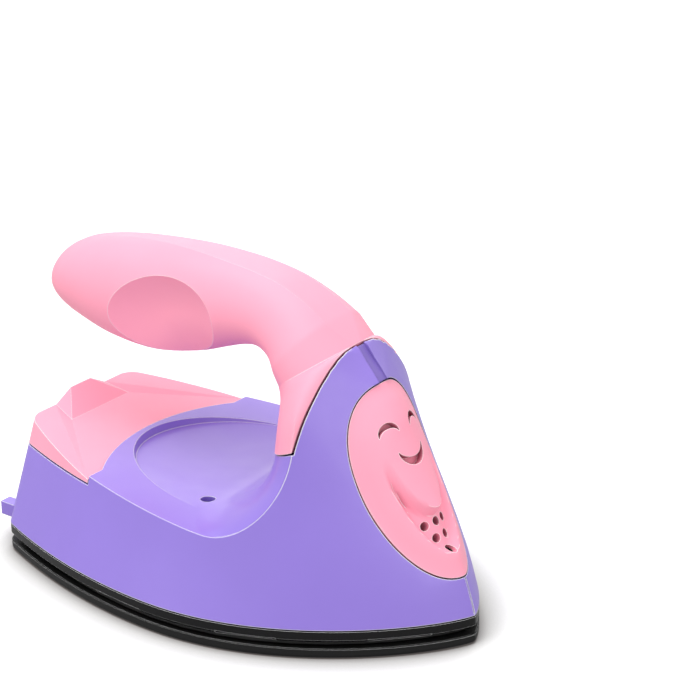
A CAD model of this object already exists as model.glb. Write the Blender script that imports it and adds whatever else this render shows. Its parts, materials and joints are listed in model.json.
"""Looks of the mini craft iron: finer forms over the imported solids, moulded plastics, light and camera.

Lengths are in metres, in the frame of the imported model: +X to the nose, +Z up, the sole in Z = 0.
A name that ends in SHARE or SHARES is a fraction of the size it follows.
"""
import json
from functools import cache, partial
from math import acos, asin, copysign, cos, hypot, pi, radians, sin, sqrt, tau

import bmesh
import bpy
from mathutils import Matrix, Vector
from mathutils.bvhtree import BVHTree
from mathutils.kdtree import KDTree

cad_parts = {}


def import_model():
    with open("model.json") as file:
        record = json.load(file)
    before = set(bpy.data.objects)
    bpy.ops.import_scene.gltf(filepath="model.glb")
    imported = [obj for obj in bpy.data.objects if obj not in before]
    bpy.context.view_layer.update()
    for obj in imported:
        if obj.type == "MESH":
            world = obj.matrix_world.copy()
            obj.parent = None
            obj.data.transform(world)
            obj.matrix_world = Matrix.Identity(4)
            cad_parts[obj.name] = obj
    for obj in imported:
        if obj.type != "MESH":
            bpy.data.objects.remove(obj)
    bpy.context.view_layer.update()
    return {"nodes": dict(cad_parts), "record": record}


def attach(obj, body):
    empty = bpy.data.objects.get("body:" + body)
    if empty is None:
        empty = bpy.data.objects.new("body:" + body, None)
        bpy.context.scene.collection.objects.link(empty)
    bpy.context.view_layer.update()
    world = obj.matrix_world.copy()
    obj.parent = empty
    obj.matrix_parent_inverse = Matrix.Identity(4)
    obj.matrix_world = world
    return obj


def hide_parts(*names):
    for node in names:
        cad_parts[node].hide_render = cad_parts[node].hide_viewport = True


MM = 0.001
QUARTER = radians(90)

# Photograph's camera
PHOTO_WIDTH = 679
FOCAL_PIXELS = 2557.0
SENSOR_WIDTH = 36.0
CAMERA_PLACE = Vector((306.1, -362.0, 244.8)) * MM
CAMERA_RIGHT = Vector((0.790, 0.613, -0.020))
CAMERA_FORWARD = Vector((-0.574, 0.727, -0.377))
CAMERA_CLIP = (10 * MM, 20.0)

# Each lamp's place, the height of the point over the origin that it faces, its size and its power
LAMPS = {
    "key_softbox": ((-0.12, -0.18, 0.69), 30 * MM, 0.70, 3.7),
    "back_softbox": ((-0.45, 0.70, 0.42), 30 * MM, 0.90, 1.6),
    "right_fill": ((0.72, -0.16, 0.31), 30 * MM, 0.50, 1.2),
    "low_fill": ((-0.20, -0.78, 0.12), 50 * MM, 0.90, 1.4),
}
AMBIENT = 0.74
WHITE = (1.0, 1.0, 1.0, 1.0)

# Floor and the shadow at the object's foot
FLOOR_REACH = 6.0
FLOOR_GAP = 0.05 * MM
FLOOR_SHADE = (0.80, 0.80, 0.80, 1.0)
FLOOR_BOUNCE = (0.48, 0.48, 0.48, 1.0)
FLOOR_LIFT = 0.45
CONTACT_REACH = 14 * MM
CONTACT_SHADE = (0.13, 0.115, 0.11, 1.0)
CONTACT_FADE = (0.35, 0.95)
CONTACT_SAMPLES = 16

# Finish of each slot: linear colour, roughness, and what differs from finish_material's usual values
FINISHES = {
    "purple_plastic": dict(colour=(0.272, 0.181, 0.65), rough=0.38, coat=0.15, edge=0.34 * MM,
                           glint=0.95, groove=True),
    "pink_plastic": dict(colour=(1.0, 0.366, 0.490), rough=0.42, edge=0.26 * MM, glint=0.80,
                         specular=0.28, line_start=0.93, open_only=True),
    "black_plastic": dict(colour=(0.006, 0.006, 0.006), rough=0.24, edge=0.14 * MM, glint=1.0,
                          specular=0.2),
    "coated_aluminium": dict(colour=(0.010, 0.010, 0.010), rough=0.42, grain=3600.0,
                             grain_depth=0.03 * MM, edge=0.22 * MM, glint=0.9, specular=0.2, line_end=0.95),
    "silicone": dict(colour=(0.012, 0.012, 0.012), rough=0.62),
    "steel": dict(colour=(0.62, 0.62, 0.64), rough=0.28, metallic=1.0),
    "brass": dict(colour=(0.80, 0.60, 0.25), rough=0.3, metallic=1.0),
    "mica": dict(colour=(0.75, 0.68, 0.55), rough=0.5, cloud=0.2),
    "ceramic": dict(colour=(0.85, 0.84, 0.80), rough=0.6),
    "sleeve": dict(colour=(0.85, 0.85, 0.80), rough=0.6),
}
COAT_ROUGHNESS = 0.12

# Noise that clouds the colour and smudges the gloss, as scale, detail and roughness, and the grain
CLOUD = (70.0, 3.0)
SMUDGE = (220.0, 4.0, 0.6)
SMUDGE_RANGE = (0.3, 0.7)
GLOSS_SHARES = (0.88, 1.14)
GRAIN_DETAIL = 2.0
GRAIN_STRENGTH = 0.25

# Darker crevices and groove, and rounding of edges
CREVICE_REACH = 2 * MM
CREVICE_OPEN_SHARE = 0.76
CREVICE_DARK_SHARE = 0.24
CREVICE_POWER = 2.0
CREVICE_SAMPLES = 8
EDGE_SAMPLES = 6
GROOVE_LOW = 44 * MM
GROOVE_SHADE = 0.72

# Angles past which an edge stays sharp
HOUSING_ANGLE = radians(32)
SOLE_ANGLE = radians(35)
FACE_ANGLE = radians(40)
GRIP_ANGLE = radians(18)
FACET_ANGLE = radians(9)

# Width and depth of the ridge groove over the face and of the parting line under it
RIDGE_GROOVE = (2.5 * MM, 1.3 * MM)
NOSE_LINE = (0.35 * MM, 0.2 * MM)

# Thumb's hollow
HOLLOW_BOWL_DEPTH = 4.8 * MM
HOLLOW_OVER_SHARE = 1.06

# Relief of the face
TOP_FULLNESS = 0.8
TOP_TRIM = 0.5 * MM
RIDGE_ROUNDING = 2.2 * MM
CROWN_EDGE = 0.4 * MM
CROWN_HEIGHT = 1.1 * MM
CROWN_REACH_SHARE = 0.55
BASIN_TOP = 27 * MM
BASIN_DEPTH = 2.2 * MM
BASIN_FADE = 7 * MM
LINE_DEPTH = 1.6 * MM
LINE_END_SHARE = 0.08
BACK_SPARE = 1.4 * MM
# Drop, half-width and soft edge of the basin's border and of the chin's
BASIN = (22.3 * MM, 7.7 * MM, 2 * MM)
CHIN = (14 * MM, 7 * MM, 1.5 * MM)
# Smiling lines: height, place across, radius, first and last angle, thickness
STROKES = [
    *[("eye", 30.9 * MM, y, 2.1 * MM, radians(10), radians(170), 1.15 * MM) for y in (-3.8 * MM, 3.8 * MM)],
    ("mouth", 28.2 * MM, 0.0, 3.6 * MM, radians(195), radians(345), 1.7 * MM),
]
FACE_RING_SHARES = [1.0, 0.985, 0.965] + [0.94 - 0.03 * j for j in range(30)]
POCKET_RING_SHARES = [1.0, 0.8, 0.5, 0.2]
WINDOW_RING_SHARES = [1.0, 0.5]

# Sole
PLATE_LENGTH = 105 * MM
PLATE_WIDTH = 67.6 * MM
PLATE_RIM = 2.2 * MM
PLATE_EDGE_RADIUS = 0.9 * MM
PLATE_EDGE_TURNS = [radians(15) * step for step in range(7)]
PAD_INSET = 8 * MM
PAD_RISE = 1.2 * MM
HEEL_WIDTH_SHARE = 0.679
HEEL_CORNER_RADIUS = 2.6 * MM
WIDEST_SHARE = 0.471
HEEL_TAPER = 1.9
WIDTH_LIMIT_SHARE = 1.02
ARCH_LIMIT_SHARE = 1.12
NOSE_WALL_SHARE = 1.5
ARCH_REACH_SHARE = 0.99

# Gaps between pieces that touch
GAP = 0.3 * MM
STACK_GAP = 0.2 * MM
SCREW_GAP = 0.3 * MM

# Gasket and heat shield
GASKET_THICKNESS = 0.8 * MM
SHIELD_TOP = 5.9 * MM
SHIELD_FLOOR = 1.5 * MM
SHIELD_WALL = 4.5 * MM
SHIELD_CHAMFER = 0.7 * MM
NOTCH_LENGTH = 12.5 * MM
NOTCH_DEPTH = 1 * MM
NOTCH_HEIGHT = 0.8 * MM
NOTCH_PAIRS = 3
NOTCH_SHARES = (0.13, 0.66)

# Housing
TOWER_TOP = 57.1 * MM
SHELL_WALL = 2.2 * MM
CEILING_Z = 17.5 * MM
TOWER_WALL = 4.5 * MM
TOWER_SIDE_WALL = 3.3 * MM
HOLLOW_INSET_SHARE = 1.5
HEEL_LEAN = 0.07
HEEL_SIDE_LEAN = 0.358
TOP_WIDEST_SHIFT = 6 * MM
DISH_Z = 22.1 * MM
DECK_SLOPE = 0.067
DECK_FOOT_X = 8.4 * MM
SEAT_Z = 39.9 * MM
SEAT_SLOPE = 0.42
ARCH_X = 23.2 * MM
ARCH_TILT = 0.11
ARCH_MARGIN = 0.8 * MM
TOWER_BACK_X = 11 * MM
FLARE_REACH = 15 * MM
SADDLE_LIP = 0.3 * MM
RIM_LENGTH = 30.6 * MM
RIM_HALF_WIDTH = 20.5 * MM
RIM_STEP = 1.7 * MM
RIM_DRAFT = 0.4 * MM
BOWL_SAG = 0.5 * MM
FOOT_FADE_SHARE = 0.4

# Height share, nose share of half the length, arch share of half the width, and side fullness
BODY_SHARES = [
    (0.000, 1.000, 0.818, 0.790),
    (0.144, 0.958, 0.763, 0.790),
    (0.346, 0.844, 0.690, 0.725),
    (0.519, 0.750, 0.626, 0.720),
    (0.664, 0.686, 0.571, 0.780),
    (0.782, 0.646, 0.492, 0.980),
    (0.870, 0.608, 0.390, 1.150),
    (0.949, 0.540, 0.265, 1.150),
    (0.992, 0.505, 0.140, 1.050),
    (1.000, 0.496, 0.030, 1.050),
]
HULL_LEVEL_SHARES = [0.0, 0.07, 0.144, 0.24, 0.346, 0.43, 0.519, 0.59, 0.664, 0.72, 0.782, 0.83,
                     0.87, 0.91, 0.949, 0.975, 0.992, 1.0]

# Heel feet
FOOT_REACH = 4.6 * MM
FOOT_WIDTH = 2.7 * MM
FOOT_BOTTOM = 5.1 * MM
FOOT_TOP = 8.1 * MM
FOOT_SETBACK = 0.4 * MM
FOOT_ROOT = 1.3 * MM

# Heel panel
PANEL_BASE = 22.8 * MM
PANEL_FRONT_X = -32.2 * MM
PANEL_ARC_RADIUS = 38 * MM
PANEL_CORNER_X = -25.9 * MM
PANEL_SIDE_RISE = 5 * MM
PANEL_PEAK_RISE = 7.8 * MM
PANEL_RIDGE_RISE = 3.3 * MM
PANEL_PEAK_HALF_WIDTH = 2.45 * MM
PANEL_VALLEY_HALF_WIDTH = 7.5 * MM
PANEL_RIDGE_HALF_WIDTH = 8.9 * MM
PANEL_RIDGE_REACH = 6.1 * MM
PANEL_TIP_RISE = 0.8 * MM

# Face panel
FACE_BOTTOM_Z = 14.2 * MM
FACE_TOP_Z = 51.2 * MM
FACE_HALF_WIDTH = 11.5 * MM
FACE_WIDEST_SHARE = 0.585
FACE_THICKNESS = 1.2 * MM
FACE_LEDGE_SHARE = 0.84
CROWN_SLOPE_SHARE = 0.25
VENT_ROWS = 3
VENT_RADIUS = 0.9 * MM
VENT_SIDES = 28
VENT_PITCH = 2.8 * MM
VENT_ROW_PITCH = 3.05 * MM
VENT_TOP_HEIGHT = 11.9 * MM

# Handle
HANDLE_REACH = 77.8 * MM
HANDLE_RISE = 29.1 * MM
HANDLE_HALF_WIDTH = 10.5 * MM
HANDLE_SEAM = 0.3 * MM
HANDLE_INSET = 0.25 * MM
DIMPLE_HALF_LENGTH = 13.6 * MM
DIMPLE_HALF_HEIGHT = 8.8 * MM
DIMPLE_PLACE_SHARES = (0.532, 0.53)
DIMPLE_TILT = radians(-12)

# Grip stations from the rear forwards: reach and rise of the lower and the upper point, half-width, and
# half-width of the top, as shares of the handle's sizes
GRIP_SHARES = [
    (0.992, 0.490, 0.992, 0.530, 0.12, 0.03),
    (0.985, 0.440, 0.985, 0.585, 0.32, 0.05),
    (0.955, 0.375, 0.970, 0.680, 0.55, 0.06),
    (0.905, 0.310, 0.930, 0.780, 0.76, 0.08),
    (0.840, 0.250, 0.860, 0.870, 0.90, 0.09),
    (0.745, 0.185, 0.745, 0.940, 0.99, 0.11),
    (0.615, 0.165, 0.605, 0.985, 1.00, 0.17),
    (0.480, 0.237, 0.470, 1.000, 0.95, 0.27),
    (0.390, 0.323, 0.360, 0.990, 0.88, 0.33),
    (0.318, 0.390, 0.270, 0.970, 0.85, 0.35),
    (0.254, 0.418, 0.182, 0.925, 0.88, 0.36),
    (0.206, 0.375, 0.100, 0.835, 0.98, 0.37),
    (0.184, 0.285, 0.035, 0.725, 1.12, 0.38),
]

# Neck stations: reach and rise of the rear point, height share on the arch, swell of the side, and
# how far round the section its widest point lies
NECK_SHARES = [
    (0.174, 0.210, 1.000, 1.17, 0.46),
    (0.170, 0.150, 0.970, 1.23, 0.54),
    (0.167, 0.080, 0.860, 1.33, 0.64),
    (0.164, 0.000, 0.660, 1.50, 0.76),
    (0.161, -0.090, 0.360, 1.70, 0.90),
    (0.159, -0.1877, 0.000, 1.84, 0.99),
]
GRIP_WIDEST_SHARE = 0.46
CHINE_FIRST_RING = 24

# Screws
SCREW_RADIUS = 0.9 * MM
SCREW_HEAD_RADIUS = 1.25 * MM
SCREW_HEAD_HEIGHT = 1.4 * MM
WELL_DEPTH = 11 * MM
BOSS_RADIUS = 3 * MM
DISH_SCREW = (-1.5 * MM, 16 * MM)
HEEL_SCREW = (-38 * MM, 11 * MM)
SCREW_BITE = 2 * MM
SHIELD_SCREW_RISE = 6 * MM
SHIELD_SIDE_SCREW_X = -20 * MM
BOSS_CLEARANCE = 1.8 * MM
SHIELD_NOSE_SCREW_MARGIN = 2.5 * MM
SHIELD_HEAD_HEIGHT = 0.8 * MM
SHIELD_HEAD_DROP = 0.1 * MM
FOOT_SCREW_Y = 6.5 * MM
FOOT_SCREW_SETBACK = 6.5 * MM
FOOT_SCREW_RISE = 6 * MM

# Heater stack
HEATER_CENTRE_X = 2 * MM
HEATER_LENGTH = 54 * MM
HEATER_WIDTH = 22 * MM
HEATER_THICKNESS = 2.4 * MM
HEATER_CORNER = 4 * MM
MICA_THICKNESS = 0.5 * MM
CLAMP_OVERHANG = 8 * MM
CLAMP_SCREW_INSET = 3.6 * MM
POST_RADIUS = 2.6 * MM
SHIELD_WINDOW_MARGIN = 2 * MM

# Heel contacts
BLOCK_WIDTH = 17 * MM
BLOCK_HEIGHT = 8 * MM
BLOCK_DEPTH = 7 * MM
BLOCK_Z = 13 * MM

# Room for cutting tools
OVERRUN = 5 * MM
CUT_TOP = 75 * MM
WORK_SPAN = 45 * MM
WORK_REACH = 70 * MM
WELD_DISTANCE = 0.004 * MM
ROUND_SIDES = 32
HOLE_SIDES = 12

HALF_LENGTH = PLATE_LENGTH / 2
HALF_WIDTH = PLATE_WIDTH / 2
PAD_TOP = PLATE_RIM + PAD_RISE
SHIELD_BOTTOM = PLATE_RIM + GASKET_THICKNESS + 2 * STACK_GAP
SHELL_BOTTOM = SHIELD_TOP + GAP
BODY_HEIGHT = TOWER_TOP - SHELL_BOTTOM

CLAMP_Z = PAD_TOP + STACK_GAP + HEATER_THICKNESS + STACK_GAP + MICA_THICKNESS + STACK_GAP
WINDOW_REACH = HEATER_LENGTH / 2 + CLAMP_OVERHANG + SHIELD_WINDOW_MARGIN
SHIELD_HEAD_TOP = SHIELD_TOP - SHIELD_FLOOR + SHIELD_HEAD_HEIGHT - SHIELD_HEAD_DROP
HOLE_RADIUS = SCREW_RADIUS + SCREW_GAP
HEAD_HOLE_RADIUS = SCREW_HEAD_RADIUS + SCREW_GAP


def solid(name, points, faces):
    """A mesh object from points and faces."""
    mesh = bpy.data.meshes.new(name)
    mesh.from_pydata([tuple(p) for p in points], [], faces)
    mesh.validate()
    made = bpy.data.objects.new(name, mesh)
    bpy.context.scene.collection.objects.link(made)
    return made


def neighbours(count):
    """Each number in a closed ring with the next one."""
    return [(j, (j + 1) % count) for j in range(count)]


def loft(name, rings):
    """A closed solid through rings of equal count, listed anticlockwise seen from the last ring."""
    count = len(rings[0])
    last = (len(rings) - 1) * count
    faces = [tuple(reversed(range(count)))]
    faces += [(low + j, low + k, low + count + k, low + count + j)
              for low in range(0, last, count) for j, k in neighbours(count)]
    faces.append(tuple(range(last, last + count)))
    return solid(name, [p for ring in rings for p in ring], faces)


def prism(name, outline, low, high):
    """An upright prism on an anticlockwise outline."""
    return loft(name, [[(x, y, z) for x, y in outline] for z in (low, high)])


def box(name, low, high):
    outline = [(low[0], low[1]), (high[0], low[1]), (high[0], high[1]), (low[0], high[1])]
    return prism(name, outline, low[2], high[2])


def rod(name, start, end, radius, sides=ROUND_SIDES):
    """A cylinder between two points."""
    start = Vector(start)
    axis = Vector(end) - start
    turn = axis.to_track_quat("Z", "Y").to_matrix()
    angles = [tau * j / sides for j in range(sides)]
    spokes = [turn @ Vector((radius * cos(a), radius * sin(a), 0)) for a in angles]
    return loft(name, [[centre + spoke for spoke in spokes] for centre in (start, start + axis)])


def apply_boolean(operation, target, tool):
    """Apply one exact Boolean to the target's mesh, and drop the tool."""
    step = target.modifiers.new(operation.lower(), "BOOLEAN")
    step.operation = operation
    step.object = tool
    step.solver = "EXACT"
    bpy.context.view_layer.update()
    done = target.evaluated_get(bpy.context.evaluated_depsgraph_get())
    target.data = bpy.data.meshes.new_from_object(done)
    target.modifiers.remove(step)
    weld(target)
    bpy.data.objects.remove(tool)
    return target


def weld(target):
    """Merge the slivers that a Boolean leaves where edges nearly meet, if the mesh stays closed."""
    mesh = bmesh.new()
    mesh.from_mesh(target.data)
    bmesh.ops.remove_doubles(mesh, verts=mesh.verts[:], dist=WELD_DISTANCE)
    bmesh.ops.dissolve_degenerate(mesh, edges=mesh.edges[:], dist=WELD_DISTANCE)
    if all(len(edge.link_faces) == 2 for edge in mesh.edges):
        mesh.to_mesh(target.data)
    mesh.free()


cut = partial(apply_boolean, "DIFFERENCE")
fuse = partial(apply_boolean, "UNION")
keep_inside = partial(apply_boolean, "INTERSECT")


def drill(target, place, low, high, radius=HOLE_RADIUS, sides=HOLE_SIDES):
    """Cut an upright round hole at a place that starts with its x and y."""
    x, y = place[:2]
    cut(target, rod("hole", (x, y, low), (x, y, high), radius, sides))


def shade(target, angle):
    """Round surfaces smooth, edges sharp."""
    target.data.shade_smooth()
    target.data.set_sharp_from_angle(angle=angle)
    return target


def table_value(rows, share, column):
    """Read a column of a share table with a smooth monotone curve between its rows."""
    share = min(max(share, rows[0][0]), rows[-1][0])
    index = sum(row[0] < share for row in rows[1:-1])

    def secant(i):
        return (rows[i][column] - rows[i - 1][column]) / (rows[i][0] - rows[i - 1][0])

    def slope(i):
        if i in (0, len(rows) - 1):
            return secant(max(i, 1))
        before, after = secant(i), secant(i + 1)
        return 0.0 if before * after <= 0 else 2 * before * after / (before + after)

    low, high = rows[index], rows[index + 1]
    span = high[0] - low[0]
    t = (share - low[0]) / span
    start, end = low[column], high[column]
    return ((2 * t ** 3 - 3 * t ** 2 + 1) * start + (t ** 3 - 2 * t ** 2 + t) * span * slope(index)
            + (3 * t ** 2 - 2 * t ** 3) * end + (t ** 3 - t ** 2) * span * slope(index + 1))


def arch_x(z):
    """The slanted plane where the tower ends and the handle starts."""
    return ARCH_X + max(0.0, z - SEAT_Z) * ARCH_TILT


def section(z, inset=0.0):
    """The plan outline of the housing at one height, or set in by a wall, as its few measures."""
    rise = max(0.0, z - SHELL_BOTTOM)
    nose_share, arch_share, fullness = [table_value(BODY_SHARES, rise / BODY_HEIGHT, column)
                                        for column in (1, 2, 3)]
    widest_rise = min(1.0, rise / (DISH_Z - SHELL_BOTTOM))
    heel_x = -HALF_LENGTH + HEEL_LEAN * rise + inset
    mid_x = -HALF_LENGTH + WIDEST_SHARE * PLATE_LENGTH + TOP_WIDEST_SHIFT * widest_rise
    nose_x = max(HALF_LENGTH * nose_share, arch_x(z) + ARCH_MARGIN) - NOSE_WALL_SHARE * inset
    arch_w = HALF_WIDTH * arch_share - inset
    u = min(ARCH_REACH_SHARE, (arch_x(z) - mid_x) / (nose_x - mid_x))
    mid_w = arch_w / (1 - u * u) ** fullness
    heel_w = HALF_WIDTH * HEEL_WIDTH_SHARE - HEEL_SIDE_LEAN * rise - inset
    above = min(1.0, max(0.0, (z - DISH_Z - OVERRUN) / (SEAT_Z - DISH_Z - OVERRUN)))
    limit = WIDTH_LIMIT_SHARE * (HALF_WIDTH * (1 - above) + ARCH_LIMIT_SHARE * arch_w * above)
    return heel_x, heel_w, mid_x, mid_w, nose_x, fullness, limit


def half_width(measures, x):
    """Half the section's width at x, negative in front of the nose."""
    heel_x, heel_w, mid_x, mid_w, nose_x, fullness, limit = measures
    if x >= nose_x:
        return nose_x - x
    if x > mid_x:
        u = (x - mid_x) / (nose_x - mid_x)
        return min(mid_w * (1 - u * u) ** fullness, limit)
    t = min(1.0, (mid_x - x) / (mid_x - heel_x))
    return heel_w + (min(mid_w, limit) - heel_w) * (1 - t ** HEEL_TAPER)


def section_outline(measures, side_steps=18, nose_steps=32, corner_steps=8):
    """The closed outline of a section, anticlockwise from the nose tip."""
    heel_x, _, mid_x, _, nose_x = measures[:5]
    corner = HEEL_CORNER_RADIUS
    places = [mid_x + (nose_x - mid_x) * cos(QUARTER * j / nose_steps) for j in range(nose_steps)]
    places += [mid_x + (heel_x + corner - mid_x) * j / side_steps for j in range(side_steps)]
    half = [(x, max(0.0, half_width(measures, x))) for x in places]
    for j in range(corner_steps + 1):
        angle = QUARTER * j / corner_steps
        x = heel_x + corner * (1 - sin(angle))
        half.append((x, half_width(measures, x) - corner * (1 - cos(angle))))
    return half + [(x, -y) for x, y in reversed(half[1:])]


def ring_at(inset, z):
    """The housing's outline at one height, or the sole's below the housing, set in by a margin."""
    return [(x, y, z) for x, y in section_outline(section(max(z, SHELL_BOTTOM), inset))]


def hull(name, low, high, inset=0.0):
    """The housing's outer form between two heights, or the same form set in by a wall."""
    levels = [SHELL_BOTTOM + share * BODY_HEIGHT for share in HULL_LEVEL_SHARES]
    return loft(name, [ring_at(inset, z) for z in [low, *[z for z in levels if low < z < high], high]])


def deck_z(x):
    return DISH_Z + DECK_SLOPE * max(0.0, DECK_FOOT_X - x)


def top_tool():
    """The solid that carves saddle, dish and deck."""
    rings = top_rings()
    count = len(rings[0])
    last = (len(rings) - 1) * count
    faces = [(low + j, low + count + j, low + count + j + 1, low + j + 1)
             for low in range(0, last, count) for j in range(count - 1)]
    faces.append(tuple(reversed(range(0, last + 1, count))))
    faces.append(tuple(range(count - 1, last + count, count)))
    faces.append(tuple(range(count)) + tuple(reversed(range(last, last + count))))
    tool = solid("top_tool", [p for row in rings for p in row], faces)
    weld(tool)
    return tool


def panel_arc(grow=0.0, steps=32):
    """The front edge of the heel panel, from -Y to +Y, with the stretch behind it."""
    radius = PANEL_ARC_RADIUS - grow
    centre_x = PANEL_FRONT_X + PANEL_ARC_RADIUS
    corner_x = PANEL_CORNER_X + grow
    limit = acos(min(1.0, (centre_x - corner_x) / radius))
    angles = [limit * (1 - 2 * j / steps) for j in range(steps + 1)]
    arc = [(centre_x - radius * cos(a), -radius * sin(a)) for a in angles]
    return [(-WORK_REACH, -WORK_SPAN), (corner_x, -WORK_SPAN), *arc,
            (corner_x, WORK_SPAN), (-WORK_REACH, WORK_SPAN)]


def panel_roof():
    """The faceted top of the heel panel as a solid that runs past the housing's outline."""
    rear_x = section(PANEL_BASE)[0]
    tip_y = half_width(section(PANEL_BASE), PANEL_CORNER_X)
    peak, side, ridge, tip = [PANEL_BASE + rise for rise in (
        PANEL_PEAK_RISE, PANEL_SIDE_RISE, PANEL_RIDGE_RISE, PANEL_TIP_RISE)]
    half = {}
    for name, y, z in (("peak", PANEL_PEAK_HALF_WIDTH, peak), ("valley", PANEL_VALLEY_HALF_WIDTH, side),
                       ("side", WORK_SPAN, side)):
        half[name] = (rear_x, y, z)
        half[name + "_far"] = (rear_x - OVERRUN, y, z)
    half["ridge"] = (rear_x + PANEL_RIDGE_REACH, PANEL_RIDGE_HALF_WIDTH, ridge)
    for name, x in (("tip", PANEL_CORNER_X), ("front", PANEL_CORNER_X + OVERRUN)):
        half[name] = (x, tip_y, tip)
        half[name + "_out"] = (x, WORK_SPAN, tip)
    size = len(half)

    def corners(names):
        return [list(half).index(name) for name in names.split()]

    facets = [tuple(corners(names)) for names in (
        "valley_far peak_far peak valley", "side_far valley_far valley side", "valley peak ridge",
        "side valley tip tip_out", "valley ridge tip", "tip_out tip front front_out")]
    spine = corners("peak_far peak ridge tip front")
    edge = corners("side_far side tip_out front_out front")
    back = corners("valley_far peak_far")
    points = [*half.values(), *[(x, -y, z) for x, y, z in half.values()]]
    faces = facets + [tuple(i + size for i in reversed(facet)) for facet in facets]
    faces += [(a, a + size, b + size, b) for a, b in zip(spine, spine[1:])]
    border = edge + [i + size for i in edge[::-1] + back] + back[::-1]
    base = len(points)
    points += [(*points[i][:2], PANEL_BASE - OVERRUN) for i in border]
    faces += [(border[j], border[k], base + k, base + j) for j, k in neighbours(len(border))]
    faces.append(tuple(reversed(range(base, len(points)))))
    return solid("panel_roof", points, faces)


def make_heel_panel():
    panel = hull("heel_panel", PANEL_BASE, PANEL_BASE + PANEL_PEAK_RISE + OVERRUN)
    keep_inside(panel, panel_roof())
    keep_inside(panel, prism("edge", panel_arc(), PANEL_BASE - OVERRUN, CUT_TOP))
    return shade(panel, FACET_ANGLE)


@cache
def face_frame():
    """Origin, up, and outward directions of the face, from the nose line of the housing."""
    bottom, top = [Vector((section(z)[4], 0, z)) for z in (FACE_BOTTOM_Z, FACE_TOP_Z)]
    up = (top - bottom).normalized()
    return bottom, up, Vector((up.z, 0, -up.x)), (top - bottom).length


def face_point(v, y, n):
    origin, up, out = face_frame()[:3]
    return origin + up * v + out * n + Vector((0, y, 0))


def smooth_step(t):
    t = min(max(t, 0.0), 1.0)
    return t * t * (3 - 2 * t)


@cache
def hull_depth(v, y, steps=26):
    """How far the housing's surface lies in front of the face plane at (v, y)."""
    low, high = -HALF_WIDTH, OVERRUN
    for _ in range(steps):
        middle = (low + high) / 2
        point = face_point(v, y, middle)
        if half_width(section(point.z), point.x) > abs(y):
            low = middle
        else:
            high = middle
    return low


def egg_solid(name, front, back, grow, ring_shares, around=96):
    """A closed solid over the face's egg outline between two depth functions."""
    places = [(*egg_point(share, tau * (j + 0.5) / around, grow), share)
              for share in ring_shares for j in range(around)]
    places.append((*egg_point(0.0, 0.0), 0.0))
    points = [face_point(v, y, depth(v, y, share)) for depth in (front, back) for v, y, share in places]
    size = len(places)
    last = size - 1 - around
    pairs = neighbours(around)
    found = [(low + k, low + around + k, low + around + j, low + j)
             for low in range(0, last, around) for j, k in pairs]
    found += [(last + k, size - 1, last + j) for j, k in pairs]
    faces = found + [tuple(size + i for i in reversed(face)) for face in found]
    return solid(name, points, faces + [(size + j, size + k, k, j) for j, k in pairs])


def vent_places():
    """Rows of three, two and one vents, from the top."""
    return [(VENT_TOP_HEIGHT - row * VENT_ROW_PITCH, (j - (VENT_ROWS - row - 1) / 2) * VENT_PITCH)
            for row in range(VENT_ROWS) for j in range(VENT_ROWS - row)]


def screw_wells():
    """Place and top of the wells for the screws that hold the sole."""
    pairs = (*DISH_SCREW, DISH_Z), (*HEEL_SCREW, PANEL_BASE - GAP)
    return [(x, side * y, top) for x, y, top in pairs for side in (-1, 1)]


def shield_screw_places():
    """Places of the screws that hold the shield: two beside the walls, one in front of the window."""
    side_y = half_width(section(CEILING_Z, SHELL_WALL), SHIELD_SIDE_SCREW_X) - BOSS_RADIUS - BOSS_CLEARANCE
    nose_x = HEATER_CENTRE_X + WINDOW_REACH + SHIELD_NOSE_SCREW_MARGIN
    return [(SHIELD_SIDE_SCREW_X, -side_y), (SHIELD_SIDE_SCREW_X, side_y), (nose_x, 0.0)]


def foot_screw_points(side):
    """Start and end of a screw that goes up through the seat into the handle's foot."""
    x = ARCH_X - FOOT_SCREW_SETBACK
    across = Vector((-SEAT_SLOPE, 0, 1)).normalized()
    base = Vector((x, side * FOOT_SCREW_Y, seat_height(x)))
    return base - across * (SHELL_WALL + STACK_GAP + SCREW_HEAD_HEIGHT), base + across * FOOT_SCREW_RISE


def contact_slot():
    """The opening in the heel wall that the terminal block sits in."""
    rear_x = section(BLOCK_Z)[0]
    half_y = BLOCK_WIDTH / 2 + GAP
    low = (rear_x - OVERRUN, -half_y, BLOCK_Z - BLOCK_HEIGHT / 2 - GAP)
    return box("slot", low, (rear_x + BLOCK_DEPTH, half_y, BLOCK_Z + BLOCK_HEIGHT / 2 + GAP))


def make_housing():
    shell = hull("body_shell", SHELL_BOTTOM, TOWER_TOP)
    cut(shell, egg_solid("pocket", lambda v, y, s: OVERRUN,
                         lambda v, y, s: hull_depth(v, y) - FACE_THICKNESS - GAP, GAP, POCKET_RING_SHARES))
    cut(shell, egg_solid("window", lambda v, y, s: OVERRUN, lambda v, y, s: hull_depth(v, y) - 3 * SHELL_WALL,
                         -(1 - FACE_LEDGE_SHARE) * FACE_HALF_WIDTH, WINDOW_RING_SHARES))
    cut(shell, top_tool())
    cut(shell, prism("seat", panel_arc(GAP), PANEL_BASE - GAP, CUT_TOP))
    fuse_feet(shell)
    cut(shell, shell_cavity())
    cut(shell, tower_cavity())
    cut_shell_openings(shell)
    cut(shell, centre_groove("ridge", FACE_TOP_Z - TOP_TRIM - GAP, TOWER_TOP + OVERRUN, *RIDGE_GROOVE))
    cut(shell, centre_groove("nose", SHELL_BOTTOM + GAP, FACE_BOTTOM_Z - GAP, *NOSE_LINE))
    return shade(shell, HOUSING_ANGLE)


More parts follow.
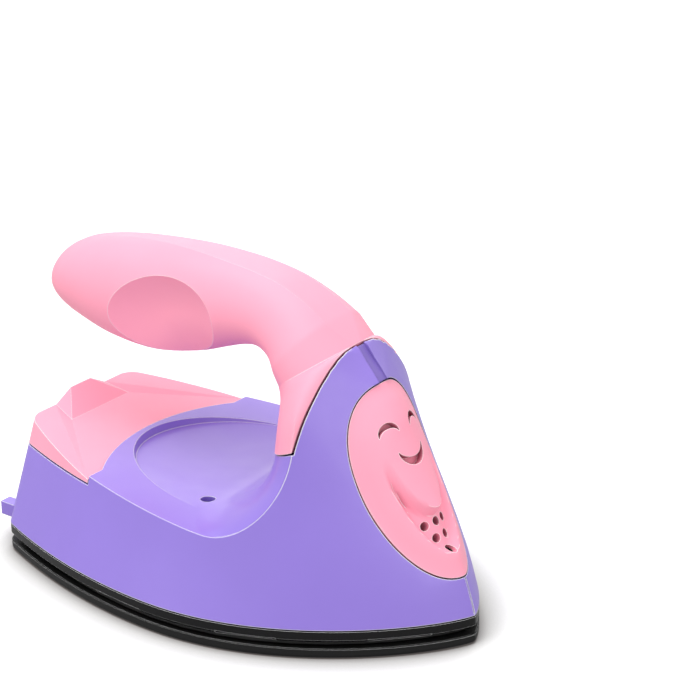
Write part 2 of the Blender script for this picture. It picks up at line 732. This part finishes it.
def fuse_feet(shell):
    """The two feet behind the heel that the iron can stand on."""
    rear_x = section(SHELL_BOTTOM)[0]
    back, wall, root = rear_x - FOOT_REACH, rear_x - GAP, rear_x + FOOT_ROOT
    low = SHELL_BOTTOM + STACK_GAP
    foot_side = [(back, FOOT_BOTTOM), (wall, FOOT_BOTTOM), (wall, low), (root, low), (root, FOOT_TOP),
                 (back, FOOT_TOP)]
    outer = HALF_WIDTH * HEEL_WIDTH_SHARE - HEEL_CORNER_RADIUS - FOOT_SETBACK
    for side in (-1, 1):
        centre = side * (outer - FOOT_WIDTH / 2)
        edges = centre + FOOT_WIDTH / 2, centre - FOOT_WIDTH / 2
        fuse(shell, loft("foot", [[(x, y, z) for x, z in foot_side] for y in edges]))


def shell_cavity():
    """The hollow below the deck, with the screw bosses left standing."""
    cavity = hull("cavity", SHELL_BOTTOM - OVERRUN, CEILING_Z, SHELL_WALL)
    *beside, nose = shield_screw_places()
    for place in screw_wells() + beside:
        drill(cavity, place, SHELL_BOTTOM, CUT_TOP, BOSS_RADIUS, ROUND_SIDES)
    top = SHELL_BOTTOM + SHIELD_SCREW_RISE + SHELL_WALL
    drill(cavity, nose, SHELL_BOTTOM, top, BOSS_RADIUS, ROUND_SIDES)
    cut(cavity, box("web", (nose[0], -SHELL_WALL / 2, SHELL_BOTTOM),
                    (HALF_LENGTH, SHELL_WALL / 2, top - GAP)))
    return cavity


def seat_height(x):
    """The slanted plane that carries the handle's foot."""
    return SEAT_Z + SEAT_SLOPE * (x - ARCH_X)


def tower_cavity(steps=8):
    """The hollow inside the tower, under the handle's seat."""
    depth = ARCH_X - TOWER_BACK_X - TOWER_WALL
    half = half_width(section(SEAT_Z), ARCH_X) - TOWER_SIDE_WALL
    angles = [radians(90 - 180 * j / steps) for j in range(steps + 1)]
    outline = [(WORK_REACH, -half), (WORK_REACH, half)]
    outline += [(ARCH_X - depth * cos(a), half * sin(a)) for a in angles]
    roof = SHELL_WALL * hypot(1.0, SEAT_SLOPE)
    core = loft("core", [[(x, y, CEILING_Z - SHELL_WALL) for x, y in outline],
                         [(x, y, seat_height(x) - roof) for x, y in outline]])
    hollow = hull("hollow", CEILING_Z - 2 * SHELL_WALL, TOWER_TOP - 3 * SHELL_WALL,
                  HOLLOW_INSET_SHARE * SHELL_WALL)
    return keep_inside(hollow, core)


def cut_shell_openings(shell):
    """Screw wells and holes, and the contact block's slot."""
    for x, y, top in screw_wells():
        floor = top - WELL_DEPTH
        drill(shell, (x, y), floor, CUT_TOP, HEAD_HOLE_RADIUS, ROUND_SIDES)
        drill(shell, (x, y), -OVERRUN, floor + OVERRUN)
    for place in shield_screw_places():
        drill(shell, place, -OVERRUN, SHELL_BOTTOM + SHIELD_SCREW_RISE + GAP)
    for side in (-1, 1):
        cut(shell, rod("hole", *foot_screw_points(side), HOLE_RADIUS, HOLE_SIDES))
    cut(shell, contact_slot())


def handle_point(reach_share, rise_share):
    """A point of the handle's side view, measured back and up from the foot of the arch."""
    return Vector((ARCH_X - reach_share * HANDLE_REACH, 0, SEAT_Z + rise_share * HANDLE_RISE))


def handle_section(low, high, width, widest, end_width, steps=30):
    """A ring from the lower to the upper point, with half-widths from two quarter ellipses."""
    fade = 1 - (end_width / width) ** 2
    half = []
    for j in range(steps + 1):
        t = (1 - cos(pi * j / steps)) / 2
        if t < widest:
            drop = ((widest - t) / widest) ** 2
        else:
            drop = fade * ((t - widest) / (1 - widest)) ** 2
        half.append((low.lerp(high, t), Vector((0, width * sqrt(max(0.0, 1 - drop)), 0))))
    return [p + w for p, w in half] + [p - w for p, w in reversed(half[1:])]


def grip_rings(steps=5):
    """Rings of the grip, from its rear end to the neck."""
    return [handle_section(handle_point(*ends[:2]), handle_point(*ends[2:]), width * HANDLE_HALF_WIDTH,
                           GRIP_WIDEST_SHARE, top * HANDLE_HALF_WIDTH)
            for *ends, width, top in curve(GRIP_SHARES, steps)]


def neck_rings(steps=7):
    """A fan of sections that turns down from the grip on to the seat, with one end on the arch."""
    rings = []
    seat = SEAT_Z + HANDLE_SEAM
    arch_rise = TOWER_TOP - SEAT_Z - HANDLE_SEAM
    for reach, rise, height_share, swell, widest in curve(NECK_SHARES, steps):
        low = handle_point(reach, rise)
        low.z += HANDLE_SEAM
        z = seat + min(height_share, 1.0) * arch_rise
        high = Vector((arch_x(z) - HANDLE_SEAM, 0, z))
        end_width = max(0.0, half_width(section(z), arch_x(z)) - HANDLE_INSET)
        width = max(swell * HANDLE_HALF_WIDTH - HANDLE_INSET, end_width)
        rings.append(handle_section(low, high, width, widest, end_width))
    return rings


def make_soleplate():
    rings = [ring_at(PLATE_EDGE_RADIUS * (1 - sin(turn)), PLATE_EDGE_RADIUS * (1 - cos(turn)))
             for turn in PLATE_EDGE_TURNS]
    rings += [ring_at(0, PLATE_RIM - STACK_GAP), ring_at(STACK_GAP, PLATE_RIM),
              ring_at(PAD_INSET, PLATE_RIM), ring_at(PAD_INSET, PAD_TOP)]
    plate = loft("soleplate", rings)
    reach = HEATER_LENGTH / 2 + CLAMP_OVERHANG - CLAMP_SCREW_INSET
    for x in (HEATER_CENTRE_X - reach, HEATER_CENTRE_X + reach):
        start = (x, 0.0, PAD_TOP - PAD_RISE / 2)
        fuse(plate, rod("post", start, (x, 0.0, CLAMP_Z - STACK_GAP), POST_RADIUS))
        drill(plate, (x, 0.0), PAD_TOP, CLAMP_Z)
    for well in screw_wells():
        drill(plate, well, PAD_TOP - SCREW_BITE - GAP, CLAMP_Z)
    return shade(plate, SOLE_ANGLE)


def notch_tools(steps=24):
    """Cutters for the vent notches, spread along both sides of the shield."""
    outline = section_outline(section(SHELL_BOTTOM), steps, steps)
    side = [Vector((x, y)) for x, y in outline[:2 * steps + 1] if y > 0]
    lengths = [0.0]
    for a, b in zip(side, side[1:]):
        lengths.append(lengths[-1] + (b - a).length)
    first, last = NOTCH_SHARES
    spread = (last - first) / (NOTCH_PAIRS - 1)
    tools = []
    for index in range(NOTCH_PAIRS):
        wanted = lengths[-1] * (first + spread * index)
        j = next(i for i, d in enumerate(lengths) if d >= wanted)
        along = (side[j] - side[j - 1]).normalized()
        centre = side[j - 1] + along * (wanted - lengths[j - 1])
        tools += [notch_tool(centre * flip, along * flip) for flip in (Vector((1, 1)), Vector((1, -1)))]
    return tools


def make_heat_shield():
    rings = [ring_at(SHIELD_WALL, SHIELD_TOP - SHIELD_FLOOR), ring_at(SHIELD_WALL, SHIELD_BOTTOM),
             ring_at(SHIELD_CHAMFER, SHIELD_BOTTOM), ring_at(0, SHIELD_BOTTOM + SHIELD_CHAMFER),
             ring_at(0, SHIELD_TOP)]
    shield = loft("heat_shield", rings)
    outline = rounded_outline(HEATER_CENTRE_X, 2 * WINDOW_REACH, HEATER_WIDTH + 2 * SHIELD_WINDOW_MARGIN,
                              HEATER_CORNER)
    cut(shield, prism("window", outline, SHIELD_BOTTOM, SHELL_BOTTOM))
    for place in screw_wells() + shield_screw_places():
        drill(shield, place, 0, CUT_TOP)
    for place in shield_screw_places():
        drill(shield, place, 0, SHIELD_HEAD_TOP + GAP, HEAD_HOLE_RADIUS, ROUND_SIDES)
    for tool in notch_tools():
        cut(shield, tool)
    return shade(shield, SOLE_ANGLE)


def notch_tool(centre, along):
    """A box across the shield's lower edge."""
    across = Vector((along.y, -along.x)) * NOTCH_DEPTH
    half = along * NOTCH_LENGTH / 2
    corners = [centre - half + across, centre + half + across, centre + half - across,
               centre - half - across]
    return prism("notch", corners, SHIELD_BOTTOM - GAP, SHIELD_BOTTOM + NOTCH_HEIGHT)


def rounded_outline(centre_x, length, width, radius, steps=4):
    """A rounded rectangle, anticlockwise."""
    outline = []
    for quarter, (sx, sy) in enumerate(((1, 1), (-1, 1), (-1, -1), (1, -1))):
        corner_x = centre_x + sx * (length / 2 - radius)
        corner_y = sy * (width / 2 - radius)
        angles = [QUARTER * (quarter + j / steps) for j in range(steps + 1)]
        outline += [(corner_x + radius * cos(a), corner_y + radius * sin(a)) for a in angles]
    return outline


def curve(points, steps=5):
    """Points on a smooth curve through the given ones."""
    points = [Vector(p) for p in points]
    padded = [2 * points[0] - points[1], *points, 2 * points[-1] - points[-2]]
    found = []
    for i in range(1, len(padded) - 2):
        a, b, c, d = padded[i - 1:i + 3]
        for step in range(steps):
            t = step / steps
            found.append(0.5 * (2 * b + (c - a) * t + (2 * a - 5 * b + 4 * c - d) * t * t
                                + (3 * b - a - 3 * c + d) * t ** 3))
    return found + [points[-1]]


def top_rings(columns=44, side_columns=8, flare_steps=18, bowl_steps=8):
    """Rings that run from the tower's rear wall down the flare, over the dish and out past the deck."""
    tower_depth = ARCH_X - TOWER_BACK_X
    foot_x = ARCH_X - FLARE_REACH
    foot_span = half_width(section(DISH_Z), foot_x) - SADDLE_LIP
    rim_end = asin(RIM_HALF_WIDTH / foot_span)
    rim_x = foot_x - tower_depth * cos(rim_end)
    sides = [QUARTER + (rim_end - QUARTER) * j / side_columns for j in range(side_columns)]
    angles = [-a for a in sides] + [rim_end * (2 * j / columns - 1) for j in range(columns + 1)] + sides[::-1]

    def wall(x, z, span):
        return [(x, y, z) for y in (-WORK_SPAN, *[span * sin(a) for a in angles], WORK_SPAN)]

    def foot_lift(angle):
        edge = smooth_step((abs(angle) / rim_end - FOOT_FADE_SHARE) / (1 - FOOT_FADE_SHARE))
        return edge * (deck_z(foot_x - tower_depth * cos(angle)) - DISH_Z)

    rings = []
    for step in range(flare_steps + 1):
        phi = QUARTER * step / flare_steps
        drop = sin(phi)
        z = DISH_Z + (SEAT_Z - DISH_Z) * (1 - drop)
        front_x = ARCH_X - FLARE_REACH * (1 - cos(phi))
        span = half_width(section(z), front_x) - SADDLE_LIP
        if not rings:
            rings = [wall(arch_x(CUT_TOP), CUT_TOP, span), wall(arch_x(SEAT_Z) + SADDLE_LIP, SEAT_Z, span)]
        row = [(front_x - tower_depth * cos(a), span * sin(a),
                z - SEAT_SLOPE * tower_depth * cos(a) * (1 - drop) + foot_lift(a) * drop ** 2)
               for a in angles]
        rings.append([(front_x, -WORK_SPAN, row[0][2]), *row, (front_x, WORK_SPAN, row[-1][2])])
    floor = rings[-1]
    rim = []
    for (x, y, z), angle in zip(floor, [-QUARTER, *angles, QUARTER]):
        turn = min(max(angle / rim_end, -1.0), 1.0) * QUARTER
        fade = cos(turn)
        if abs(angle) < rim_end:
            x = rim_x - (RIM_LENGTH + rim_x) * fade
            y = RIM_HALF_WIDTH * sin(turn)
        draft = RIM_DRAFT * fade
        inner = (x + draft, y * (1 - draft / RIM_HALF_WIDTH), deck_z(x) - RIM_STEP * fade ** 2)
        rim.append((fade, inner, (x, y, deck_z(x))))
    fades, rim_inner, rim_outer = zip(*rim)
    for step in range(1, bowl_steps):
        share = step / bowl_steps
        row = []
        for near, far, fade in zip(floor, rim_inner, fades):
            x, y, z = Vector(near).lerp(Vector(far), share)
            row.append((x, y, z - BOWL_SAG * sin(pi * share) * fade))
        rings.append(row)
    edge = WORK_SPAN - OVERRUN
    return rings + [rim_inner, rim_outer, wall(-WORK_REACH, deck_z(-WORK_REACH), edge),
                    wall(-WORK_REACH, CUT_TOP, edge)]


def centre_groove(name, low_z, high_z, width, depth, steps=24):
    """A cutter that follows the housing's nose line between two heights."""
    rings = []
    for j in range(steps + 1):
        z = low_z + (high_z - low_z) * j / steps
        x = section(z)[4]
        corners = (-depth, -1), (OVERRUN, -1), (OVERRUN, 1), (-depth, 1)
        rings.append([(x + out, side * width / 2, z) for out, side in corners])
    return loft(name, rings)


def egg_point(radius_share, angle, grow=0.0):
    """A point of the face's egg outline, full at its top, or of a smaller egg inside it."""
    length = face_frame()[3]
    centre = FACE_WIDEST_SHARE * length
    reach, power = (length - TOP_TRIM - centre, TOP_FULLNESS) if sin(angle) > 0 else (centre, 1.0)
    rise, across = [copysign(abs(part) ** power, part) for part in (sin(angle), cos(angle))]
    return (centre + radius_share * (reach + grow) * rise,
            radius_share * (FACE_HALF_WIDTH + grow) * across)


def inside(v, y, drop, half, edge):
    """Whether (v, y) lies inside a rounded border that hangs from the cheeks, with a soft edge."""
    fall = max(0.0, BASIN_TOP - v) / drop
    side = abs(y) / half
    share = hypot(fall, side)
    slope = hypot(fall / drop, side / half)
    return smooth_step((half if slope == 0 else (1 - share) * share / slope) / edge)


def face_front(v, y, radius_share):
    """The face's depth: a crowned egg with a basin that opens between its crest and the chin."""
    high = smooth_step((v - VENT_TOP_HEIGHT) / BASIN_FADE / 2)
    base = hull_depth(v, hypot(y, RIDGE_ROUNDING * high))
    edge = smooth_step((1 - radius_share) / CROWN_SLOPE_SHARE)
    crown = CROWN_EDGE * edge + CROWN_HEIGHT * smooth_step((1 - radius_share) / CROWN_REACH_SHARE)
    fade = smooth_step((BASIN_TOP - v) / BASIN_FADE + LINE_END_SHARE)
    return base + crown - BASIN_DEPTH * fade * inside(v, y, *BASIN) * (1 - inside(v, y, *CHIN))


def face_back(v, y, radius_share):
    """The depth of the face's rear side, thicker inside the ledge that it rests on."""
    spare = BACK_SPARE * smooth_step((FACE_LEDGE_SHARE - radius_share) / CROWN_SLOPE_SHARE)
    return face_front(v, y, radius_share) - FACE_THICKNESS - spare


def crescent(name, centre_v, centre_y, radius, start, end, thickness, steps=28):
    """A curved stroke, thick in its middle, that follows the face: the cutter for its smiling lines."""
    rings = []
    for j in range(steps + 1):
        share = j / steps
        angle = start + (end - start) * share
        swell = thickness * (LINE_END_SHARE + (1 - LINE_END_SHARE) * sin(pi * share)) / 2
        ring = []
        for r, lift in ((radius - swell, -LINE_DEPTH), (radius - swell, OVERRUN),
                        (radius + swell, OVERRUN), (radius + swell, -LINE_DEPTH)):
            v = centre_v + r * sin(angle)
            y = centre_y + r * cos(angle)
            ring.append(face_point(v, y, face_front(v, y, 0.0) + lift))
        rings.append(ring)
    return loft(name, rings)


def make_face_panel():
    panel = egg_solid("face_panel", face_front, face_back, 0.0, FACE_RING_SHARES)
    for v, y in vent_places():
        ends = face_point(v, y, -HALF_WIDTH), face_point(v, y, OVERRUN)
        cut(panel, rod("vent", *ends, VENT_RADIUS, VENT_SIDES))
    for stroke in STROKES:
        cut(panel, crescent(*stroke))
    return shade(panel, FACE_ANGLE)


def thumb_hollow(grip, side, levels=12, around=96):
    """A bowl that spans an oval of the grip's side, sunk below the grip's own surface."""
    mesh = grip.data
    tree = BVHTree.FromPolygons([v.co for v in mesh.vertices], [p.vertices for p in mesh.polygons])
    middle = handle_point(*DIMPLE_PLACE_SHARES)
    tilt = Matrix.Rotation(DIMPLE_TILT, 3, "Y")

    def skin(x, z):
        found = tree.ray_cast(Vector((x, side * WORK_SPAN, z)), Vector((0, -side, 0)))[0]
        return abs(found.y) if found else 0.0

    deepest = skin(middle.x, middle.z) - HOLLOW_BOWL_DEPTH
    rings = []
    for level in range(levels + 1):
        share = HOLLOW_OVER_SHARE * (1 - level / (levels + 1))
        ring = []
        for j in range(around):
            angle = tau * j / around
            out = tilt @ Vector((DIMPLE_HALF_LENGTH * cos(angle), 0, DIMPLE_HALF_HEIGHT * sin(angle)))
            edge = skin(middle.x + out.x, middle.z + out.z)
            depth = deepest + (edge - deepest) * share ** 2
            ring.append((middle.x + out.x * share, side * depth, middle.z + out.z * share))
        rings.append(ring)
    rings.insert(0, [(x, side * WORK_SPAN, z) for x, _, z in rings[0]])
    return loft("hollow", [ring[::side] for ring in rings])


def crease_chines(grip, rings):
    """Keep the edges of the grip's flat top crisp."""
    half = len(rings[0]) // 2
    places = [ring[half + k] for ring in rings for k in (0, 1)]
    tree = KDTree(len(places))
    for index, place in enumerate(places):
        tree.insert(place, index)
    tree.balance()
    sides = [v.co.y > 0 if tree.find(v.co)[2] < WELD_DISTANCE else None for v in grip.data.vertices]
    for edge in grip.data.edges:
        a, b = edge.vertices
        if sides[a] is not None and sides[a] == sides[b]:
            edge.use_edge_sharp = True


def make_grip():
    """Both halves of the handle in one finer form."""
    rings = grip_rings()
    grip = loft("grip", rings + neck_rings())
    for side in (-1, 1):
        cut(grip, thumb_hollow(grip, side))
    shade(grip, GRIP_ANGLE)
    crease_chines(grip, rings[CHINE_FIRST_RING:])
    return grip


def make_pieces(materials):
    """Make the finer pieces, give each its finish, and let it stand for its solids."""
    for make, name, slot, *nodes in (
            (make_housing, "fine_housing", "purple_plastic", "body_shell"),
            (make_grip, "fine_grip", "pink_plastic", "handle_left", "handle_right"),
            (make_face_panel, "fine_face", "pink_plastic", "face_panel"),
            (make_heel_panel, "fine_heel_panel", "pink_plastic", "heel_panel"),
            (make_soleplate, "fine_sole", "coated_aluminium", "soleplate"),
            (make_heat_shield, "fine_shield", "black_plastic", "heat_shield")):
        piece = make()
        piece.name = name
        piece.data.materials.append(materials[slot])
        piece.modifiers.new("steady_normals", "WEIGHTED_NORMAL").keep_sharp = True
        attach(piece, "root")
        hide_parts(*nodes)


def feed(socket, value):
    """Link an input to an output, or set its own value."""
    if isinstance(value, bpy.types.NodeSocket):
        socket.id_data.links.new(value, socket)
    else:
        socket.default_value = value


def node(tree, kind, *values, operation=None, **named):
    """A shader node, its inputs fed in order or by name."""
    made = tree.nodes.new("ShaderNode" + kind)
    if operation:
        made.operation = operation
    for socket, value in zip(made.inputs, values):
        feed(socket, value)
    for name, value in named.items():
        feed(made.inputs[name.replace("_", " ")], value)
    return made


def blend(tree, factor, low, high):
    """Mix two colours, each a socket or a value."""
    mix = node(tree, "Mix", factor)
    mix.data_type = "RGBA"
    for socket, value in zip([s for s in mix.inputs if s.type == "RGBA"], (low, high)):
        feed(socket, value)
    return next(s for s in mix.outputs if s.type == "RGBA")


def maths(tree, operation, *values, kind="Math", result="Value", **named):
    """The result of a math node on sockets or numbers."""
    return node(tree, kind, *values, operation=operation, **named).outputs[result]


def ramp(tree, value, start, end, low=0.0, high=1.0):
    """A value mapped from one range to another and held at its ends."""
    return node(tree, "MapRange", value, start, end, low, high).outputs["Result"]


def noise(tree, place, scale, detail, rough=0.5):
    return node(tree, "TexNoise", Vector=place, Scale=scale, Detail=detail, Roughness=rough).outputs["Fac"]


def groove_masks(tree, place):
    """Where the ridge groove lies, and where edges away from it may catch the light."""
    axes = node(tree, "SeparateXYZ", place).outputs
    beside = maths(tree, "ABSOLUTE", axes["Y"])
    above = maths(tree, "GREATER_THAN", axes["Z"], GROOVE_LOW)
    groove, near = [maths(tree, "MULTIPLY", maths(tree, "LESS_THAN", beside, reach), above)
                    for reach in (RIDGE_GROOVE[0] / 2, RIDGE_GROOVE[0])]
    return groove, maths(tree, "SUBTRACT", 1.0, near)


def finish_material(name, colour, rough, metallic=0.0, coat=0.0, grain=2200.0, grain_depth=0.01 * MM,
                    cloud=0.05, edge=0.25 * MM, glint=0.0, specular=0.5,
                    line_start=0.80, line_end=0.995, groove=False, open_only=False):
    """A moulded or machined surface: cloudy colour, uneven gloss, fine grain and softened edges."""
    made = bpy.data.materials.new(name)
    made.diffuse_color = (*colour, 1.0)
    made.use_nodes = True
    tree = made.node_tree
    shader = tree.nodes["Principled BSDF"]
    place = node(tree, "TexCoord").outputs["Object"]
    tint = ramp(tree, noise(tree, place, *CLOUD), 0.0, 1.0, 1.0 - cloud, 1.0 + cloud)
    scaled = maths(tree, "SCALE", colour, kind="VectorMath", result="Vector", Scale=tint)
    soft = node(tree, "Bevel", edge)
    soft.samples = EDGE_SAMPLES
    soft = soft.outputs["Normal"]
    flat = node(tree, "NewGeometry").outputs["Normal"]
    bend = maths(tree, "DOT_PRODUCT", soft, flat, kind="VectorMath")
    line = ramp(tree, bend, line_start, line_end, glint, 0.0)
    crevice = node(tree, "AmbientOcclusion", Distance=CREVICE_REACH)
    crevice.samples = CREVICE_SAMPLES
    open_share = ramp(tree, crevice.outputs["AO"], 0.0, CREVICE_OPEN_SHARE)
    deep = [channel ** CREVICE_POWER * CREVICE_DARK_SHARE for channel in colour]
    shaded = blend(tree, open_share, (*deep, 1.0), scaled)
    if open_only:
        line = maths(tree, "MULTIPLY", line, open_share)
    if groove:
        within, away = groove_masks(tree, place)
        shaded = blend(tree, within, shaded, (*[channel * GROOVE_SHADE for channel in colour], 1.0))
        line = maths(tree, "MULTIPLY", line, away)
    gloss = ramp(tree, noise(tree, place, *SMUDGE), *SMUDGE_RANGE,
                 *[rough * share for share in GLOSS_SHARES])
    bump = node(tree, "Bump", Strength=GRAIN_STRENGTH, Distance=grain_depth,
                Height=noise(tree, place, grain, GRAIN_DETAIL), Normal=soft)
    feed(shader.inputs["Base Color"], blend(tree, line, shaded, WHITE))
    feed(shader.inputs["Roughness"], gloss)
    feed(shader.inputs["Normal"], bump.outputs["Normal"])
    shader.inputs["Metallic"].default_value = metallic
    shader.inputs["Coat Weight"].default_value = coat
    shader.inputs["Specular IOR Level"].default_value = specular
    shader.inputs["Coat Roughness"].default_value = COAT_ROUGHNESS
    return made


def dress_nodes(frame, materials):
    """Give every carried-over solid its finished material."""
    slots = {part["node"]: part["material_slot"] for part in frame["record"]["subparts"]}
    for name, made in frame["nodes"].items():
        for slot in made.material_slots:
            slot.material = materials[slots[name]]


def put(name, data, place, turn):
    """Put a camera or a lamp in the scene."""
    made = bpy.data.objects.new(name, data)
    made.matrix_world = Matrix.Translation(place) @ turn.to_4x4()
    bpy.context.scene.collection.objects.link(made)
    return made


def make_camera():
    data = bpy.data.cameras.new("photo_camera")
    data.sensor_width = SENSOR_WIDTH
    data.lens = FOCAL_PIXELS / PHOTO_WIDTH * SENSOR_WIDTH
    data.clip_start, data.clip_end = CAMERA_CLIP
    forward = CAMERA_FORWARD.normalized()
    right = (CAMERA_RIGHT - forward * CAMERA_RIGHT.dot(forward)).normalized()
    turn = Matrix((right, right.cross(forward), -forward)).transposed()
    bpy.context.scene.camera = put("photo_camera", data, CAMERA_PLACE, turn)


def make_lights():
    for name, (place, target_z, size, power) in LAMPS.items():
        data = bpy.data.lights.new(name, "AREA")
        data.shape = "DISK"
        data.size = size
        data.energy = power
        aim = (Vector((0.0, 0.0, target_z)) - Vector(place)).to_track_quat("-Z", "Y")
        put(name, data, place, aim.to_matrix())


def make_world():
    """A soft grey surround for the light, and white where the camera or a reflection sees it."""
    world = bpy.data.worlds.new("studio")
    bpy.context.scene.world = world
    world.use_nodes = True
    tree = world.node_tree
    tree.nodes.clear()
    path = node(tree, "LightPath").outputs
    seen = path["Is Camera Ray"]
    for ray in ("Is Glossy Ray", "Is Transmission Ray"):
        seen = maths(tree, "MAXIMUM", seen, path[ray])
    ambient, shown = [node(tree, "Background", WHITE, strength).outputs[0] for strength in (AMBIENT, 1.0)]
    node(tree, "OutputWorld", node(tree, "MixShader", seen, ambient, shown).outputs[0])


def make_floor():
    """A pale seamless floor that keeps the contact shadow and shows white elsewhere."""
    made = bpy.data.materials.new("floor")
    made.use_nodes = True
    tree = made.node_tree
    tree.nodes.clear()
    contact = node(tree, "AmbientOcclusion", Distance=CONTACT_REACH)
    contact.samples = CONTACT_SAMPLES
    ground = blend(tree, ramp(tree, contact.outputs["AO"], *CONTACT_FADE), CONTACT_SHADE, FLOOR_SHADE)
    matt, bounce = [node(tree, "BsdfDiffuse", colour).outputs[0] for colour in (ground, FLOOR_BOUNCE)]
    lift = node(tree, "Emission", ground, FLOOR_LIFT).outputs[0]
    both = node(tree, "AddShader", matt, lift).outputs[0]
    seen = node(tree, "LightPath").outputs["Is Camera Ray"]
    node(tree, "OutputMaterial", node(tree, "MixShader", seen, bounce, both).outputs[0])
    corners = [(x * FLOOR_REACH, y * FLOOR_REACH, 0) for x, y in ((-1, -1), (1, -1), (1, 1), (-1, 1))]
    floor = solid("floor", corners, [(0, 1, 2, 3)])
    floor.data.materials.append(made)
    floor.location.z = -FLOOR_GAP


def main():
    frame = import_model()
    bpy.context.scene.view_settings.view_transform = "Standard"
    materials = {name: finish_material(name, **finish) for name, finish in FINISHES.items()}
    dress_nodes(frame, materials)
    make_pieces(materials)
    make_camera()
    make_world()
    make_lights()
    make_floor()


main()
